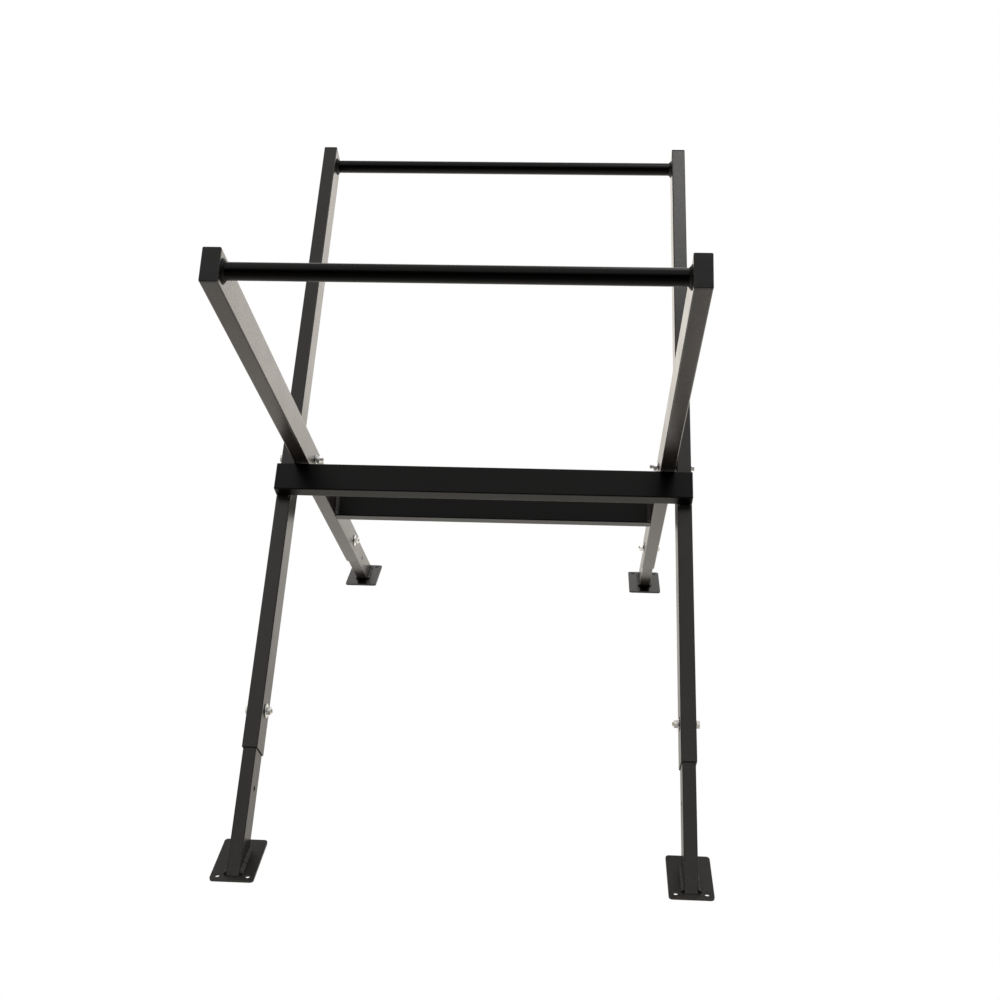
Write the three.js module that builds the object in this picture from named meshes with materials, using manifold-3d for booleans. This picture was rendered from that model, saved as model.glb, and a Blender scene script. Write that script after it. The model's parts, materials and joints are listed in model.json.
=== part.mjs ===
// Folding X-frame sawhorse: two welded steel frames on one pivot line, four telescoping legs.
// Millimetres, +X to the right, +Y to the rear, +Z up, origin on the floor midway between the feet.
import * as THREE from 'three';
import { mergeVertices } from 'three/addons/utils/BufferGeometryUtils.js';
import Module from 'manifold-3d';

const wasm = await Module();
wasm.setup();

// ---- driving dimensions -------------------------------------------------
const TILT = THREE.MathUtils.degToRad(49);   // each frame's lean from the vertical
const CROSSING_Z = 482;                      // height where the tubes' centre lines cross
const PIVOT_RISE = 2.5;                      // the pivot bolts sit this far above the crossing
const GAP = 0.3;                             // clearance between pieces that touch or are welded

const TUBE = { width: 26, depth: 52, wall: 1.5, corner: 2 };          // frame tube and crossbeams
const LEG = { width: 22, depth: 46.5, wall: 1.5, corner: 1.8 };        // telescoping leg inside it
const BAR = { radius: 12.5, wall: 2 };                              // round top bars

const OUTER_HALF = 369;                      // centre plane to the outer frame's outer faces
const SIDE_GAP = 5;                          // between an outer tube and the inner tube beside it
const TUBE_TOP = 721.5;                      // crossing to the tube's upper end, along the tube
const TUBE_BOTTOM = -548;                    // crossing to the open lower end
const OUTER_BAR_UP = 695;                    // crossing to the centre of the outer frame's bar
const INNER_BAR_UP = 705;                    // crossing to the centre of the inner frame's bar
const FRONT_BEAM_UP = -60.2;                  // centre of the front crossbeam's wide face
const REAR_BEAM_UP = -246;                   // centre of the rear crossbeam
const LEG_TOP = -318;                        // upper end of a leg inside its sleeve
const LOCK_UP = -478;                        // the lock bolt
const HOLE_PITCH = 132;                      // between the height holes in a leg
const LEG_HOLES = [-1, 0, 1];                // hole places, counted in pitches from the lock bolt

const PLATE = { width: 70, length: 106, thickness: 4, corner: 6, outerEdge: 595 };
const PLATE_HOLE = { radius: 4, spacing: 48, inset: 11 };
const CAP = { head: 3.5, spigot: 16, corner: 2, play: 0.4 };
const BEAM_CAP = { head: 3, spigot: 14, corner: 2, play: 0.4 };

const M8 = { shank: 4, bore: 4.5, flats: 13, headHeight: 5.3, nutHeight: 6.5, chamfer: 1.1 };
const WASHER = { radius: 8, thickness: 1.6 };          // plain M8 washer
const PENNY_WASHER = { radius: 12, thickness: 2 };     // wide M8 washer under the lock nuts
const SPACER_RADIUS = 9;
const PIVOT_BOLT_LENGTH = 75;
const LOCK_BOLT_LENGTH = 40;
const ROUND_SEGMENTS = 16;
const CORNER_SEGMENTS = 3;
const PLATE_SEGMENTS = 6;

// ---- worked out from them -------------------------------------------------
const PIVOT_Z = CROSSING_Z + PIVOT_RISE;
const OUTER_X = OUTER_HALF - TUBE.width / 2;
const INNER_HALF = OUTER_HALF - TUBE.width - SIDE_GAP;
const INNER_X = INNER_HALF - TUBE.width / 2;
const SIDES = [['left', -1], ['right', 1]];

// ---- materials ------------------------------------------------------------
const satinBlack = { color: 0x1d1d1f, roughness: 0.5, metalness: 0.1 };
const blackPlastic = { color: 0x1a1a1c, roughness: 0.62, metalness: 0 };
const zinc = { color: 0xb9bcbd, roughness: 0.3, metalness: 1 };

// ---- shapes and solids ------------------------------------------------------
function roundedRectangle(width, depth, corner) {
  const x = width / 2;
  const y = depth / 2;
  const shape = new THREE.Shape();
  shape.moveTo(x, y - corner);
  shape.absarc(x - corner, y - corner, corner, 0, Math.PI / 2);
  shape.absarc(-x + corner, y - corner, corner, Math.PI / 2, Math.PI);
  shape.absarc(-x + corner, -y + corner, corner, Math.PI, 1.5 * Math.PI);
  shape.absarc(x - corner, -y + corner, corner, 1.5 * Math.PI, 2 * Math.PI);
  return shape;
}

function extruded(shape, length, segments = CORNER_SEGMENTS) {
  return new THREE.ExtrudeGeometry(shape, { depth: length, bevelEnabled: false, curveSegments: segments });
}

// A rectangular tube along +Z, from z = 0 to z = length.
function rectangularTube({ width, depth, wall, corner }, length) {
  const shape = roundedRectangle(width, depth, corner);
  shape.holes.push(roundedRectangle(width - 2 * wall, depth - 2 * wall, corner - wall));
  return extruded(shape, length);
}

// A solid of revolution about +X from a closed profile of [along, radius] pairs.
function turned(profile) {
  const points = profile.map(([along, radius]) => new THREE.Vector2(radius, along));
  const geometry = new THREE.LatheGeometry(points, ROUND_SEGMENTS);
  geometry.rotateZ(-Math.PI / 2);
  return geometry;
}

function ring(start, end, inner, outer) {
  return turned([[start, inner], [start, outer], [end, outer], [end, inner], [start, inner]]);
}

function pin(start, end, radius, chamfer = 0) {
  const tip = chamfer > 0 ? [[end - chamfer, radius], [end, radius - chamfer]] : [[end, radius]];
  return turned([[start, 0], [start, radius], ...tip, [end, 0]]);
}

function toSolid(geometry) {
  const bare = geometry.clone();
  bare.deleteAttribute('normal');
  bare.deleteAttribute('uv');
  const merged = mergeVertices(bare, 1e-4);
  const vertProperties = new Float32Array(merged.attributes.position.array);
  const triVerts = new Uint32Array(merged.index.array);
  return new wasm.Manifold(new wasm.Mesh({ numProp: 3, vertProperties, triVerts }));
}

function toGeometry(solid) {
  const { numProp, vertProperties, triVerts } = solid.getMesh();
  const geometry = new THREE.BufferGeometry();
  const position = new Float32Array((vertProperties.length / numProp) * 3);
  for (let i = 0; i < position.length; i += 1) {
    position[i] = vertProperties[Math.floor(i / 3) * numProp + (i % 3)];
  }
  geometry.setAttribute('position', new THREE.BufferAttribute(position, 3));
  geometry.setIndex(new THREE.BufferAttribute(new Uint32Array(triVerts), 1));
  return geometry;
}

// Round holes along X, right through a tube, at the given [y, z] places.
function drillAcross(geometry, places, radius, halfWidth) {
  let solid = toSolid(geometry);
  for (const [y, z] of places) {
    solid = solid.subtract(toSolid(pin(-halfWidth, halfWidth, radius).translate(0, y, z)));
  }
  return toGeometry(solid);
}

function mesh(name, geometry, material, x = 0, y = 0, z = 0) {
  const piece = new THREE.Mesh(geometry, new THREE.MeshStandardMaterial(material));
  piece.name = name;
  piece.position.set(x, y, z);
  return piece;
}

// ---- frame tubes, bars and crossbeams -----------------------------------------
// In a frame's own coordinates +Z runs up the tubes and -Y is their front face.
// The pivot's place in a frame leaning back (+1, outer) or forward (-1, inner).
function pivotInFrame(lean) {
  return [-lean * PIVOT_RISE * Math.sin(TILT), PIVOT_RISE * Math.cos(TILT)];
}

function frameTube(name, x, lean) {
  const length = TUBE_TOP - TUBE_BOTTOM;
  const [pivotY, pivotZ] = pivotInFrame(lean);
  const holes = [[pivotY, pivotZ - TUBE_BOTTOM], [0, LOCK_UP - TUBE_BOTTOM]];
  const geometry = drillAcross(rectangularTube(TUBE, length), holes, M8.bore, TUBE.width);
  return mesh(name, geometry, satinBlack, x, 0, TUBE_BOTTOM);
}

function topBar(name, halfLength, up) {
  const geometry = ring(-halfLength, halfLength, BAR.radius - BAR.wall, BAR.radius);
  return mesh(name, geometry, satinBlack, 0, 0, up);
}

// A tube lying along X; turn = 0 shows its wide face to the frame's front, PI / 2 its narrow face.
function crossbeam(name, halfLength, turn, y, up) {
  const geometry = rectangularTube(TUBE, 2 * halfLength);
  geometry.translate(0, 0, -halfLength);
  geometry.rotateY(Math.PI / 2);
  geometry.rotateX(turn);
  return mesh(name, geometry, satinBlack, 0, y, up);
}

// ---- plugs ------------------------------------------------------------------------
// A push-in plug for a rectangular tube that ends at z = 0 and is open upward.
function plugGeometry(tube, cap) {
  const inside = cap.play + tube.wall;
  const head = toSolid(extruded(roundedRectangle(tube.width, tube.depth, cap.corner), cap.head));
  const spigotShape = roundedRectangle(tube.width - 2 * inside, tube.depth - 2 * inside, 1);
  const spigot = toSolid(extruded(spigotShape, cap.spigot + cap.head).translate(0, 0, -cap.spigot));
  const hollowShape = roundedRectangle(tube.width - 2 * inside - 4, tube.depth - 2 * inside - 4, 1);
  const hollow = toSolid(extruded(hollowShape, cap.spigot).translate(0, 0, -cap.spigot - 1));
  return toGeometry(head.translate([0, 0, GAP]).add(spigot).subtract(hollow));
}

function beamPlug(name, side) {
  const geometry = plugGeometry(TUBE, BEAM_CAP);
  geometry.rotateY(side * Math.PI / 2);
  geometry.rotateX(Math.PI / 2);
  return mesh(name, geometry, blackPlastic, side * (OUTER_HALF - BEAM_CAP.head), frontBeamY(), FRONT_BEAM_UP);
}

function frontBeamY() {
  return -(TUBE.depth + TUBE.width) / 2 - GAP;
}

// ---- fasteners ----------------------------------------------------------------------
// Hexagon across X from x = start to x = end, with its corners chamfered on the given ends.
function hexagon(start, end, chamferStart, chamferEnd) {
  const corner = M8.flats / Math.sqrt(3);
  const shape = new THREE.Shape();
  for (let i = 0; i < 6; i += 1) {
    const angle = (i * Math.PI) / 3;
    shape[i ? 'lineTo' : 'moveTo'](corner * Math.cos(angle), corner * Math.sin(angle));
  }
  const prism = extruded(shape, end - start).rotateY(Math.PI / 2).translate(start, 0, 0);
  const rim = corner - M8.chamfer;
  const slope = M8.chamfer * 0.6;
  const profile = [
    [start, 0],
    [start, chamferStart ? rim : corner + 1],
    [start + slope, corner + (chamferStart ? 0 : 1)],
    [end - slope, corner + (chamferEnd ? 0 : 1)],
    [end, chamferEnd ? rim : corner + 1],
    [end, 0],
  ];
  return toSolid(prism).intersect(toSolid(turned(profile)));
}

// A hexagon-head bolt along -X: the head's underside is at x = 0.
function boltGeometry(length) {
  const shank = toSolid(pin(0, length + 1, M8.shank, 1).rotateY(Math.PI).translate(1, 0, 0));
  return toGeometry(hexagon(0, M8.headHeight, false, true).add(shank));
}

function nutGeometry() {
  const bore = toSolid(pin(-1, M8.nutHeight + 1, M8.shank + GAP));
  return toGeometry(hexagon(0, M8.nutHeight, true, true).subtract(bore));
}

function washerGeometry({ radius, thickness }) {
  return ring(0, thickness, M8.shank + GAP, radius);
}

// A fastener piece is drawn for the right side and turned about for the left one.
function onSide(name, side, geometry, x, y, z) {
  const placed = side < 0 ? geometry.clone().rotateZ(Math.PI) : geometry;
  return mesh(name, placed, zinc, side * x, y, z);
}

function pivotHardware(label, side) {
  const underHead = OUTER_HALF + WASHER.thickness + 2 * GAP;
  const innerFace = INNER_HALF - TUBE.width;
  const washerX = innerFace - WASHER.thickness - GAP;
  const spacer = ring(GAP, SIDE_GAP - GAP, M8.shank + GAP, SPACER_RADIUS);
  return [
    onSide(`pivot_bolt_${label}`, side, boltGeometry(PIVOT_BOLT_LENGTH), underHead, 0, PIVOT_Z),
    onSide(`pivot_outer_washer_${label}`, side, washerGeometry(WASHER), OUTER_HALF + GAP, 0, PIVOT_Z),
    onSide(`pivot_spacer_${label}`, side, spacer, INNER_HALF, 0, PIVOT_Z),
    onSide(`pivot_inner_washer_${label}`, side, washerGeometry(WASHER), washerX, 0, PIVOT_Z),
    onSide(`pivot_nut_${label}`, side, nutGeometry(), washerX - GAP - M8.nutHeight, 0, PIVOT_Z),
  ];
}

// The lock bolt is left open between the sleeve's walls, so that the leg can slide past it:
// the head's short pin ends in the outer wall and the threaded end starts in the inner wall.
function lockHardware(label, side, half) {
  const underHead = half + WASHER.thickness + 2 * GAP;
  const innerFace = half - TUBE.width;
  const pennyX = innerFace - PENNY_WASHER.thickness - GAP;
  const headPin = underHead - half + TUBE.wall;
  const threadedEnd = pin(0, LOCK_BOLT_LENGTH - (underHead - innerFace - TUBE.wall), M8.shank, 1);
  const endX = innerFace + TUBE.wall;
  return [
    onSide(`lock_bolt_${label}`, side, boltGeometry(headPin), underHead, 0, LOCK_UP),
    onSide(`lock_outer_washer_${label}`, side, washerGeometry(WASHER), half + GAP, 0, LOCK_UP),
    onSide(`lock_penny_washer_${label}`, side, washerGeometry(PENNY_WASHER), pennyX, 0, LOCK_UP),
    onSide(`lock_nut_${label}`, side, nutGeometry(), pennyX - GAP - M8.nutHeight, 0, LOCK_UP),
    onSide(`lock_bolt_end_${label}`, side, threadedEnd.rotateY(Math.PI), endX, 0, LOCK_UP),
  ];
}

// ---- legs and feet ------------------------------------------------------------------
// The leg's lower end is cut level, just above its foot plate.
function legGeometry(lean) {
  const footUp = -CROSSING_Z / Math.cos(TILT);
  const bottom = footUp - TUBE.depth;
  const places = LEG_HOLES.map((step) => [0, LOCK_UP + step * HOLE_PITCH - bottom]);
  const drilled = drillAcross(rectangularTube(LEG, LEG_TOP - bottom), places, M8.bore, TUBE.width);
  const floor = new THREE.BoxGeometry(4 * TUBE.width, 6 * TUBE.depth, 4 * TUBE.depth);
  floor.translate(0, 0, -2 * TUBE.depth + PLATE.thickness + GAP);
  floor.translate(0, -lean * CROSSING_Z * Math.tan(TILT), -CROSSING_Z);
  floor.rotateX(lean * TILT);
  return toGeometry(toSolid(drilled.translate(0, 0, bottom)).subtract(toSolid(floor)));
}

// A level foot plate whose two screw holes are near its outer end (-Y for the front feet).
function footPlate(name, x, outward) {
  const shape = roundedRectangle(PLATE.width, PLATE.length, PLATE.corner);
  const holeY = outward * (PLATE.length / 2 - PLATE_HOLE.inset);
  for (const [, side] of SIDES) {
    const hole = new THREE.Path();
    hole.absarc(side * PLATE_HOLE.spacing / 2, holeY, PLATE_HOLE.radius, 0, 2 * Math.PI);
    shape.holes.push(hole);
  }
  const centreY = outward * (PLATE.outerEdge - PLATE.length / 2);
  return mesh(name, extruded(shape, PLATE.thickness, PLATE_SEGMENTS), satinBlack, x, centreY, 0);
}

// ---- assembly ---------------------------------------------------------------------------
function leaningFrame(lean) {
  const group = new THREE.Group();
  group.position.z = CROSSING_Z;
  group.rotation.x = -lean * TILT;
  return group;
}

function addSidePieces(group, kind, place, lean, half) {
  for (const [label, side] of SIDES) {
    const x = side * (half - TUBE.width / 2);
    group.add(frameTube(`${kind}_tube_${label}`, x, lean));
    group.add(mesh(`${kind}_top_cap_${label}`, plugGeometry(TUBE, CAP), blackPlastic, x, 0, TUBE_TOP));
    group.add(mesh(`leg_${place}_${label}`, legGeometry(lean), satinBlack, x));
    group.add(...lockHardware(`${place}_${label}`, side, half));
  }
}

function outerFrame() {
  const group = leaningFrame(1);
  addSidePieces(group, 'outer', 'front', 1, OUTER_HALF);
  group.add(topBar('outer_top_bar', OUTER_HALF - TUBE.width - GAP, OUTER_BAR_UP));
  const beamHalf = OUTER_HALF - BEAM_CAP.head;
  group.add(crossbeam('front_crossbeam', beamHalf, Math.PI / 2, frontBeamY(), FRONT_BEAM_UP));
  for (const [label, side] of SIDES) {
    group.add(beamPlug(`front_crossbeam_cap_${label}`, side));
  }
  return group;
}

function innerFrame() {
  const group = leaningFrame(-1);
  addSidePieces(group, 'inner', 'rear', -1, INNER_HALF);
  group.add(topBar('inner_top_bar', INNER_HALF - TUBE.width - GAP, INNER_BAR_UP));
  group.add(crossbeam('rear_crossbeam', INNER_HALF - TUBE.width - GAP, 0, 0, REAR_BEAM_UP));
  return group;
}

const sawhorse = new THREE.Group();
sawhorse.add(outerFrame(), innerFrame());
for (const [label, side] of SIDES) {
  sawhorse.add(...pivotHardware(label, side));
  sawhorse.add(footPlate(`foot_plate_front_${label}`, side * OUTER_X, -1));
  sawhorse.add(footPlate(`foot_plate_rear_${label}`, side * INNER_X, 1));
}

export default sawhorse;
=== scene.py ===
"""Folding steel sawhorse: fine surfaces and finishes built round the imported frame.

Lengths are in metres. Across is +X, back is away from the person standing in front of it, and up runs
along a frame's tubes. Each piece takes its place and size from the frame's own node of that name.
"""

import json
import math

import bmesh
import bpy
import numpy as np
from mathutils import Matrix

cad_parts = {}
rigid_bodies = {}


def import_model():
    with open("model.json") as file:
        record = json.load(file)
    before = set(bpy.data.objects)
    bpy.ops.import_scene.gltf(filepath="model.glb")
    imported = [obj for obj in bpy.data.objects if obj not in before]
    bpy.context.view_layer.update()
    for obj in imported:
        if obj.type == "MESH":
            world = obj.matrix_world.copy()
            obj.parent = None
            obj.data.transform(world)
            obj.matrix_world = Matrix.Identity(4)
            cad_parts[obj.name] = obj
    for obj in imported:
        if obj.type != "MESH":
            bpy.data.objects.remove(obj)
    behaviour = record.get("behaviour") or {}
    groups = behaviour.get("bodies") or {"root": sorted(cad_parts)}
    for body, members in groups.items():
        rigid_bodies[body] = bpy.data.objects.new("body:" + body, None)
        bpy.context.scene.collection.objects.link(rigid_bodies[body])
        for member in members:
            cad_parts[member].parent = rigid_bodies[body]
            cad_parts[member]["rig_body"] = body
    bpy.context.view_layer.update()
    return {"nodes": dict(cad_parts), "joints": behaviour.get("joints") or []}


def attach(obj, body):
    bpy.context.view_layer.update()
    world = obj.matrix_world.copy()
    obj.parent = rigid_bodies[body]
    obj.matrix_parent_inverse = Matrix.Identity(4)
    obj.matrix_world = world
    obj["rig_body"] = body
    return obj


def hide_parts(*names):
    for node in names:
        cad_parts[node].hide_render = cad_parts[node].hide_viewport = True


bl_info = {
    "name": "Folding sawhorse",
    "version": (1, 0, 0),
    "blender": (4, 5, 0),
    "location": "3D View > Sidebar > Sawhorse",
    "description": "Builds a folding steel sawhorse round its packed frame",
    "category": "Add Mesh",
}

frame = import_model()

MM = 0.001
ACROSS = np.array([1.0, 0.0, 0.0])
LEVEL = np.eye(3)
SIDES = (("left", -1), ("right", 1))
PLACES = (("front", "outer"), ("rear", "inner"))
CORNERS = tuple((place, kind, label, side) for place, kind in PLACES for label, side in SIDES)

ROUND = 48  # points round a turned piece; a multiple of 12, so that hexagon corners fall on points
HOLD = 1.0 * MM  # from a rounded corner to the first point on the flat beside it
FINE = 0.1 * MM  # grid places closer than this are one
CHAMFER = 1.1 * MM  # depth of the chamfer on hexagons and of the point on a thread
THREAD_PITCH, THREAD_DEPTH, THREAD_STEP = 1.25 * MM, 0.55 * MM, 0.15 * MM
RIPPLE = 2.4 * MM  # from one ripple of a weld to the next
WELD_TAPER = 2.5 * MM  # length over which the end of a weld shrinks
WELD_STEP = 0.4 * MM


# ---- measuring the frame ----


def leaning_axes(joint):
    """Rows across, back and up of a leaning frame, whose legs slide along up; back is up x across."""
    up = next(np.array(j["axis"], float) for j in frame["joints"] if j["name"] == joint)
    up /= np.linalg.norm(up)
    return np.stack([ACROSS, np.cross(up, ACROSS), up])


AXES = {
    "outer": leaning_axes("front_left_leg_height"),
    "inner": leaning_axes("rear_left_leg_height"),
}
HOLE_PITCH = next(j["range_m"][1] for j in frame["joints"] if j["type"] == "slide")


def extent(node, axes=LEVEL):
    """Lowest and highest reach of a frame node along each of three axes."""
    vertices = frame["nodes"][node].data.vertices
    places = np.empty(3 * len(vertices), np.float32)
    vertices.foreach_get("co", places)
    local = places.reshape(-1, 3).astype(float) @ axes.T
    return local.min(0), local.max(0)


def middle(node, axes=LEVEL):
    """Centre of a frame node's box along three axes."""
    return sum(extent(node, axes)) / 2


# ---- surfaces ----
# A shape is (points, faces, edge): edge is 1 on the rims and corners where a coat wears, 0 on the flats.


def loft(rings, edge=None, closed=False):
    """Quads between neighbouring rings of a (rows, columns, 3) grid whose columns run round.

    The last row joins the first where closed; otherwise a fan of triangles runs from each end row to
    that row's mean point.
    """
    rows, columns = rings.shape[:2]
    points = rings.reshape(-1, 3)
    marks = np.zeros(rows * columns) if edge is None else np.broadcast_to(edge, (rows, columns)).ravel()
    index = np.arange(rows * columns).reshape(rows, columns)
    near = np.vstack([index, index[:1]]) if closed else index
    far = np.roll(near, -1, axis=1)
    quads = np.stack([near[:-1], far[:-1], far[1:], near[1:]], -1).reshape(-1, 4).tolist()
    if closed:
        return points, quads, marks
    poles = np.stack([rings[0].mean(0), rings[-1].mean(0)])
    tips = rows * columns + np.arange(2)[:, None]
    ends = [
        np.stack([np.broadcast_to(tips[k], columns), index[row], np.roll(index[row], -1)], -1)
        for k, row in enumerate((0, -1))
    ]
    fans = np.concatenate(ends).tolist()
    return np.vstack([points, poles]), quads + fans, np.append(marks, [marks[0], marks[-1]])


def joined(shapes):
    """Several shapes as one, each set of faces counted on from the points before it."""
    starts = np.cumsum([0] + [len(points) for points, _, _ in shapes])
    faces = [[start + i for i in face] for start, shape in zip(starts, shapes) for face in shape[1]]
    points = np.vstack([shape[0] for shape in shapes])
    return points, faces, np.concatenate([shape[2] for shape in shapes])


def placed(shape, axes):
    """A shape drawn along (across, back, up) turned into the frame's own axes."""
    return shape[0] @ axes, shape[1], shape[2]


def flat_marks(half, corner):
    """The two places beside the corners of a straight side."""
    return np.array([-1, 1]) * (half - corner - HOLD)


def outline(half_p, half_q, corner, marks_p=None, marks_q=None, steps=6):
    """A rounded rectangle, anticlockwise: (points, 2), and each point's side (4 on a corner).

    A corner is its own centre plus corner * (cos t, sin t) for a quarter turn of t; a straight side
    has one point at each of its marks.
    """
    marks_p = flat_marks(half_p, corner) if marks_p is None else marks_p
    marks_q = flat_marks(half_q, corner) if marks_q is None else marks_q
    sides = [
        np.stack([np.full(len(marks_q), half_p), marks_q], 1),
        np.stack([marks_p[::-1], np.full(len(marks_p), half_q)], 1),
        np.stack([np.full(len(marks_q), -half_p), marks_q[::-1]], 1),
        np.stack([marks_p, np.full(len(marks_p), -half_q)], 1),
    ]
    quarter = np.linspace(0, math.pi / 2, steps + 1)
    points, owners = [], []
    for k, (p, q) in enumerate(((1, 1), (-1, 1), (-1, -1), (1, -1))):
        turn = quarter + k * math.pi / 2
        arc = corner * np.stack([np.cos(turn), np.sin(turn)], 1)
        points += [sides[k], arc + [p * (half_p - corner), q * (half_q - corner)]]
        owners += [np.full(len(sides[k]), k), np.full(len(arc), 4)]
    return np.concatenate(points), np.concatenate(owners)


def rim_of(rows, columns):
    """The rows and columns met in turn round the edge of a block of grid points."""
    row = np.concatenate([np.full(len(columns), rows[0]), rows[1:],
                          np.full(len(columns) - 1, rows[-1]), rows[-2:0:-1]])
    column = np.concatenate([columns, np.full(len(rows) - 1, columns[-1]),
                             columns[-2::-1], np.full(len(rows) - 2, columns[0])])
    return row, column


def drilled_tube(low, high, sizes, corner, holes, foot=None):
    """A rectangular tube along up, with round holes straight across it.

    One grid covers the outer wall upwards and the inner wall downwards: rows at heights along the tube,
    columns round a rounded rectangle. The cells in a hole's square are left out, each point of the
    square's rim moves to centre + bore * (its direction from the centre), and quads join the outer
    circle to the inner one. foot(back) gives the height of a slanted lower end.
    """
    centre, half, bore = (low + high) / 2, (high - low) / 2, sizes.bore
    fan = bore * np.tan(np.radians(15 * np.arange(-3, 4)))
    marks = [flat_marks(half[1], corner)] + [back - centre[1] + fan for back, _ in holes]
    marks_q = np.unique(np.round(np.concatenate(marks) / FINE)) * FINE
    ends = [low[2] if foot is None else foot(centre[1]), high[2]]
    heights = np.unique(np.concatenate([ends] + [up + fan for _, up in holes]))
    rows = len(heights)
    walls = []
    for inset in (0, sizes.tube_wall):
        ring, side = outline(half[0] - inset, half[1] - inset, corner - inset, marks_q=marks_q)
        grid = np.empty((rows, len(ring), 3))
        grid[..., :2] = ring + centre[:2]
        grid[..., 2] = heights[:, None]
        if foot is not None:
            grid[0, :, 2] = foot(grid[0, :, 1])
        walls.append(grid)
    points = np.concatenate([walls[0], walls[1][::-1]])
    kept = np.ones(points.shape[:2], bool)
    index = np.arange(kept.size).reshape(kept.shape)
    bores = []
    for back, up in holes:
        near_rows = np.flatnonzero(np.abs(heights - up) < bore + FINE)
        for face in (0, 2):
            offset = np.abs(walls[0][0, :, 1] - back)
            near_columns = np.flatnonzero((side == face) & (offset < bore + FINE))
            row, column = rim_of(near_rows, near_columns)
            for r in (row, 2 * rows - 1 - row):
                spoke = points[r, column, 1:] - [back, up]
                points[r, column, 1:] = [back, up] + bore * spoke / np.linalg.norm(spoke, axis=1)[:, None]
            first, last = near_rows[0], near_rows[-1]
            block = slice(near_columns[0], near_columns[-1])
            kept[first:last, block] = False
            kept[2 * rows - 1 - last:2 * rows - 1 - first, block] = False
            out, back_in = index[row, column], index[2 * rows - 1 - row, column]
            bores.append(np.stack([out, np.roll(out, -1), np.roll(back_in, -1), back_in], 1))
    edge = np.broadcast_to(side == 4, (rows, len(side))).astype(float).copy()
    edge[[0, -1]] = 1
    near, below = index, np.roll(index, -1, axis=0)
    quads = np.stack([near, np.roll(near, -1, 1), np.roll(below, -1, 1), below], -1)[kept]
    faces = np.concatenate([quads] + bores)
    used, faces = np.unique(faces, return_inverse=True)
    marks = np.concatenate([edge, edge[::-1]]).ravel()
    return points.reshape(-1, 3)[used], faces.reshape(-1, 4).tolist(), marks[used]


def beam(low, high, wall, corner):
    """A rectangular tube along across: a rounded rectangle of (back, up) carried from end to end,
    out along the outer wall and home along the inner one."""
    centre, half = (low + high) / 2, (high - low) / 2
    outer, side = outline(half[1], half[2], corner)
    inner, _ = outline(half[1] - wall, half[2] - wall, corner - wall)
    stations = [(low[0], outer, 1), (low[0] + HOLD, outer, 0), (high[0] - HOLD, outer, 0),
                (high[0], outer, 1), (high[0], inner, 1), (low[0], inner, 1)]
    rings = np.stack([np.column_stack([np.full(len(ring), x), ring + centre[1:]])
                      for x, ring, _ in stations])
    worn = np.array([mark for _, _, mark in stations])[:, None]
    return loft(rings, np.maximum(worn, side == 4), closed=True)


def spun(along, radius, centre, closed=False, edge=None):
    """A surface round an axis along across: centre + (along, radius * cos t, radius * sin t).

    radius is one number a row, or a (rows, ROUND) grid for shapes that aren't round.
    """
    turn = np.arange(ROUND) * 2 * math.pi / ROUND
    along = np.asarray(along, float)
    radius = np.broadcast_to(np.asarray(radius, float).reshape(len(along), -1), (len(along), ROUND))
    rings = np.stack([np.broadcast_to(along[:, None], radius.shape), radius * np.cos(turn),
                      radius * np.sin(turn)], -1)
    return loft(rings + centre, None if edge is None else np.asarray(edge, float)[:, None], closed)


def axis_of(low, high):
    """The point where the middle line of a box, drawn along across, meets the plane across = 0."""
    return (low + high) / 2 * [0, 1, 1]


def round_bar(low, high, wall):
    """A round tube along across: its wall's section, with rounded lips, spun round the bar's axis."""
    start, end, radius = low[0], high[0], (high[2] - low[2]) / 2
    lip = 0.4 * MM
    along = [start, start + lip, start + 3 * HOLD, end - 3 * HOLD, end - lip, end, end, start]
    radii = [radius - lip, radius, radius, radius, radius, radius - lip, radius - wall, radius - wall]
    return spun(along, radii, axis_of(low, high), True, [1, 1, 0, 0, 1, 1, 1, 1])


def plug(low, high, sizes, head, turned_out):
    """A push-in plug: rounded rectangles stacked from the spigot's end to the crowned head.

    The head's rim is a quarter round of radius soften, and its top falls by crown * share ** 2 from the
    middle to the rim. Drawn along its third axis, with the head at high (or at low, turned_out -1).
    """
    inset, soften, crown = sizes.cap_inset, sizes.cap_soften, sizes.cap_crown
    tip, top = (low[2], high[2]) if turned_out > 0 else (high[2], low[2])
    under = top - turned_out * head
    centre, half = (low + high) / 2, (high - low) / 2
    quarter = np.linspace(0, math.pi / 2, 6)
    lip = 0.3 * MM
    rows = [(inset + 2 * lip, tip), (inset, tip + turned_out * 4 * lip), (inset, under),
            (lip, under), (0, under + turned_out * lip)]
    rows += [(soften * (1 - math.cos(t)), top - turned_out * (crown + soften * (1 - math.sin(t))))
             for t in quarter]
    rings = []
    for pull, height in rows:
        corner = max(sizes.tube_corner - pull, 0.8 * MM)
        ring, _ = outline(half[0] - pull, half[1] - pull, corner)
        rings.append(np.column_stack([ring + centre[:2], np.full(len(ring), height)]))
    rim = rings[-1].copy()
    shares = (0.96, 0.7, 0.4, 0.15)
    for share in shares:
        ring = rim.copy()
        ring[:, :2] = centre[:2] + (rim[:, :2] - centre[:2]) * share
        ring[:, 2] = top - turned_out * crown * share ** 2
        rings.append(ring)
    edge = np.repeat([1, 0], [len(rows), len(shares)])[:, None]
    return loft(np.stack(rings), edge)


def six_sided(flats):
    """Distance from a hexagon's middle to its side in each direction: half the flats over the cosine
    of the angle from the nearest side's middle."""
    turn = np.arange(ROUND) * 2 * math.pi / ROUND
    return flats / 2 / np.cos((turn + math.pi / 6) % (math.pi / 3) - math.pi / 6)


def chamfered(depths, flats):
    """Rows of a hexagon's corner chamfer: the hexagon cut by a cone that widens with depth."""
    cone = 0.47 * flats + np.asarray(depths)[:, None] / math.tan(math.radians(30))
    return np.minimum(six_sided(flats), cone)


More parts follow.
